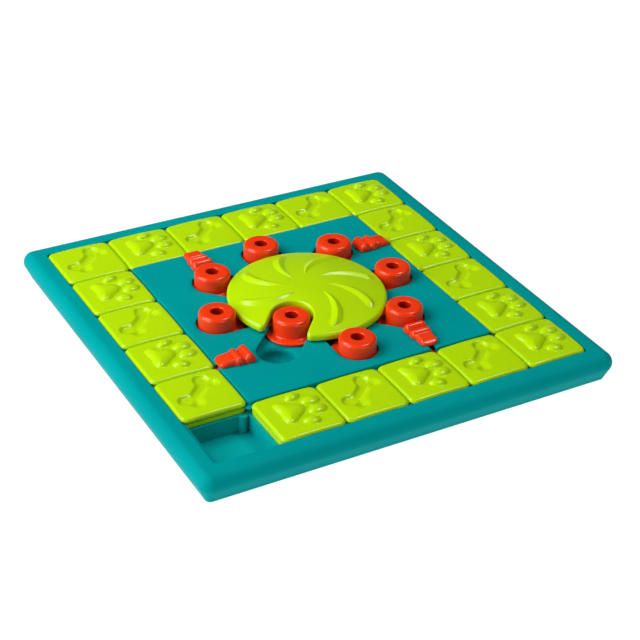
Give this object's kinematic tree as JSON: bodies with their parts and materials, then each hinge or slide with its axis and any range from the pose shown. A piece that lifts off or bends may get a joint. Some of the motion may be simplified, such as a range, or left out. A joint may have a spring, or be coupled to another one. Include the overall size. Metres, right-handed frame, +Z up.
{
  "type": "dog puzzle feeder",
  "caption": "Square dog puzzle feeder: tiles slide in a ring over treat wells around a deck with a notched turning wheel, sliding cups over bowls and thumb locks.",
  "frame": {"origin": "centre of the square footprint, on the surface that the feet stand on", "axes": "+Z up; +X along the front edge to the right; +Y to the back; the empty cell is at the -X, -Y corner"},
  "size_m": [0.4146, 0.4146, 0.0487],
  "materials": {
    "teal_plastic": "satin",
    "lime_plastic": "gloss",
    "orange_plastic": "gloss",
    "screw_steel": "zinc plated",
    "foot_rubber": "matte"
  },
  "bodies": {
    "board": {"outer_frame": "teal_plastic", "base_tray": "teal_plastic", "centre_tray": "teal_plastic", "centre_deck": "teal_plastic", "frame_screws": "screw_steel", "tray_screws": "screw_steel", "deck_screws": "screw_steel", "rubber_feet": "foot_rubber"},
    "wheel": {"spin_wheel": "lime_plastic", "hub_washer": "screw_steel", "hub_screw": "screw_steel"},
    "cup_000": {"cup_000": "orange_plastic"},
    "cup_045": {"cup_045": "orange_plastic"},
    "cup_090": {"cup_090": "orange_plastic"},
    "cup_135": {"cup_135": "orange_plastic"},
    "cup_180": {"cup_180": "orange_plastic"},
    "cup_225": {"cup_225": "orange_plastic"},
    "cup_270": {"cup_270": "orange_plastic"},
    "cup_315": {"cup_315": "orange_plastic"},
    "lock_left": {"lock_left": "orange_plastic"},
    "lock_back": {"lock_back": "orange_plastic"},
    "lock_right": {"lock_right": "orange_plastic"},
    "lock_front": {"lock_front": "orange_plastic"},
    "tile_0_1": {"tile_0_1": "lime_plastic"},
    "tile_0_2": {"tile_0_2": "lime_plastic"},
    "tile_0_3": {"tile_0_3": "lime_plastic"},
    "tile_0_4": {"tile_0_4": "lime_plastic"},
    "tile_0_5": {"tile_0_5": "lime_plastic"},
    "tile_1_5": {"tile_1_5": "lime_plastic"},
    "tile_2_5": {"tile_2_5": "lime_plastic"},
    "tile_3_5": {"tile_3_5": "lime_plastic"},
    "tile_4_5": {"tile_4_5": "lime_plastic"},
    "tile_5_5": {"tile_5_5": "lime_plastic"},
    "tile_5_4": {"tile_5_4": "lime_plastic"},
    "tile_5_3": {"tile_5_3": "lime_plastic"},
    "tile_5_2": {"tile_5_2": "lime_plastic"},
    "tile_5_1": {"tile_5_1": "lime_plastic"},
    "tile_5_0": {"tile_5_0": "lime_plastic"},
    "tile_4_0": {"tile_4_0": "lime_plastic"},
    "tile_3_0": {"tile_3_0": "lime_plastic"},
    "tile_2_0": {"tile_2_0": "lime_plastic"},
    "tile_1_0": {"tile_1_0": "lime_plastic"}
  },
  "joints": [
    {"name": "wheel_turn", "type": "hinge", "parent": "board", "child": "wheel", "pos_m": [0, 0, 0.035], "axis": [0, 0, 1], "range_deg": [-2, 2]},
    {"name": "cup_000_slide", "type": "slide", "parent": "board", "child": "cup_000", "axis": [1, 0, 0], "range_m": [-0.0004, 0.0008]},
    {"name": "cup_045_slide", "type": "slide", "parent": "board", "child": "cup_045", "axis": [0.7071, 0.7071, 0], "range_m": [-0.0004, 0.0008]},
    {"name": "cup_090_slide", "type": "slide", "parent": "board", "child": "cup_090", "axis": [0, 1, 0], "range_m": [-0.0004, 0.0008]},
    {"name": "cup_135_slide", "type": "slide", "parent": "board", "child": "cup_135", "axis": [-0.7071, 0.7071, 0], "range_m": [-0.0004, 0.0008]},
    {"name": "cup_180_slide", "type": "slide", "parent": "board", "child": "cup_180", "axis": [-1, 0, 0], "range_m": [-0.0004, 0.0008]},
    {"name": "cup_225_slide", "type": "slide", "parent": "board", "child": "cup_225", "axis": [-0.7071, -0.7071, 0], "range_m": [0, 0.0433]},
    {"name": "cup_270_slide", "type": "slide", "parent": "board", "child": "cup_270", "axis": [0, -1, 0], "range_m": [-0.0004, 0.0008]},
    {"name": "cup_315_slide", "type": "slide", "parent": "board", "child": "cup_315", "axis": [0.7071, -0.7071, 0], "range_m": [-0.0004, 0.0008]},
    {"name": "lock_left_slide", "type": "slide", "parent": "board", "child": "lock_left", "axis": [1, 0, 0], "range_m": [0, 0.0045]},
    {"name": "lock_back_slide", "type": "slide", "parent": "board", "child": "lock_back", "axis": [0, -1, 0], "range_m": [0, 0.0045]},
    {"name": "lock_right_slide", "type": "slide", "parent": "board", "child": "lock_right", "axis": [-1, 0, 0], "range_m": [0, 0.0045]},
    {"name": "lock_front_slide", "type": "slide", "parent": "board", "child": "lock_front", "axis": [0, -1, 0], "range_m": [0, 0.0045]},
    {"name": "tile_0_1_slide", "type": "slide", "parent": "board", "child": "tile_0_1", "axis": [0, -1, 0], "range_m": [0, 0.0625]},
    {"name": "tile_1_0_slide", "type": "slide", "parent": "board", "child": "tile_1_0", "axis": [1, 0, 0], "range_m": [-0.0625, 0]},
    {"name": "tile_2_0_slide", "type": "slide", "parent": "board", "child": "tile_2_0", "axis": [1, 0, 0], "range_m": [-0.0625, 0]},
    {"name": "tile_3_0_slide", "type": "slide", "parent": "board", "child": "tile_3_0", "axis": [1, 0, 0], "range_m": [-0.0625, 0]},
    {"name": "tile_4_0_slide", "type": "slide", "parent": "board", "child": "tile_4_0", "axis": [1, 0, 0], "range_m": [-0.0625, 0]},
    {"name": "tile_5_0_slide", "type": "slide", "parent": "board", "child": "tile_5_0", "axis": [1, 0, 0], "range_m": [-0.0625, 0]},
    {"name": "tile_0_2_slide", "type": "slide", "parent": "board", "child": "tile_0_2", "axis": [0, -1, 0], "range_m": [-0.0002, 0.0002]},
    {"name": "tile_0_3_slide", "type": "slide", "parent": "board", "child": "tile_0_3", "axis": [0, -1, 0], "range_m": [-0.0002, 0.0002]},
    {"name": "tile_0_4_slide", "type": "slide", "parent": "board", "child": "tile_0_4", "axis": [0, -1, 0], "range_m": [-0.0002, 0.0002]},
    {"name": "tile_0_5_slide", "type": "slide", "parent": "board", "child": "tile_0_5", "axis": [0, -1, 0], "range_m": [-0.0002, 0.0002]},
    {"name": "tile_1_5_slide", "type": "slide", "parent": "board", "child": "tile_1_5", "axis": [-1, 0, 0], "range_m": [-0.0002, 0.0002]},
    {"name": "tile_2_5_slide", "type": "slide", "parent": "board", "child": "tile_2_5", "axis": [-1, 0, 0], "range_m": [-0.0002, 0.0002]},
    {"name": "tile_3_5_slide", "type": "slide", "parent": "board", "child": "tile_3_5", "axis": [-1, 0, 0], "range_m": [-0.0002, 0.0002]},
    {"name": "tile_4_5_slide", "type": "slide", "parent": "board", "child": "tile_4_5", "axis": [-1, 0, 0], "range_m": [-0.0002, 0.0002]},
    {"name": "tile_5_5_slide", "type": "slide", "parent": "board", "child": "tile_5_5", "axis": [-1, 0, 0], "range_m": [-0.0002, 0.0002]},
    {"name": "tile_5_4_slide", "type": "slide", "parent": "board", "child": "tile_5_4", "axis": [0, 1, 0], "range_m": [-0.0002, 0.0002]},
    {"name": "tile_5_3_slide", "type": "slide", "parent": "board", "child": "tile_5_3", "axis": [0, 1, 0], "range_m": [-0.0002, 0.0002]},
    {"name": "tile_5_2_slide", "type": "slide", "parent": "board", "child": "tile_5_2", "axis": [0, 1, 0], "range_m": [-0.0002, 0.0002]},
    {"name": "tile_5_1_slide", "type": "slide", "parent": "board", "child": "tile_5_1", "axis": [0, 1, 0], "range_m": [-0.0002, 0.0002]}
  ],
  "couplings": [
    {"joint": "tile_2_0_slide", "follows": "tile_1_0_slide", "ratio": 1},
    {"joint": "tile_3_0_slide", "follows": "tile_1_0_slide", "ratio": 1},
    {"joint": "tile_4_0_slide", "follows": "tile_1_0_slide", "ratio": 1},
    {"joint": "tile_5_0_slide", "follows": "tile_1_0_slide", "ratio": 1},
    {"joint": "tile_0_3_slide", "follows": "tile_0_2_slide", "ratio": 1},
    {"joint": "tile_0_4_slide", "follows": "tile_0_2_slide", "ratio": 1},
    {"joint": "tile_0_5_slide", "follows": "tile_0_2_slide", "ratio": 1},
    {"joint": "tile_2_5_slide", "follows": "tile_1_5_slide", "ratio": 1},
    {"joint": "tile_3_5_slide", "follows": "tile_1_5_slide", "ratio": 1},
    {"joint": "tile_4_5_slide", "follows": "tile_1_5_slide", "ratio": 1},
    {"joint": "tile_5_5_slide", "follows": "tile_1_5_slide", "ratio": 1},
    {"joint": "tile_5_3_slide", "follows": "tile_5_4_slide", "ratio": 1},
    {"joint": "tile_5_2_slide", "follows": "tile_5_4_slide", "ratio": 1},
    {"joint": "tile_5_1_slide", "follows": "tile_5_4_slide", "ratio": 1}
  ]
}
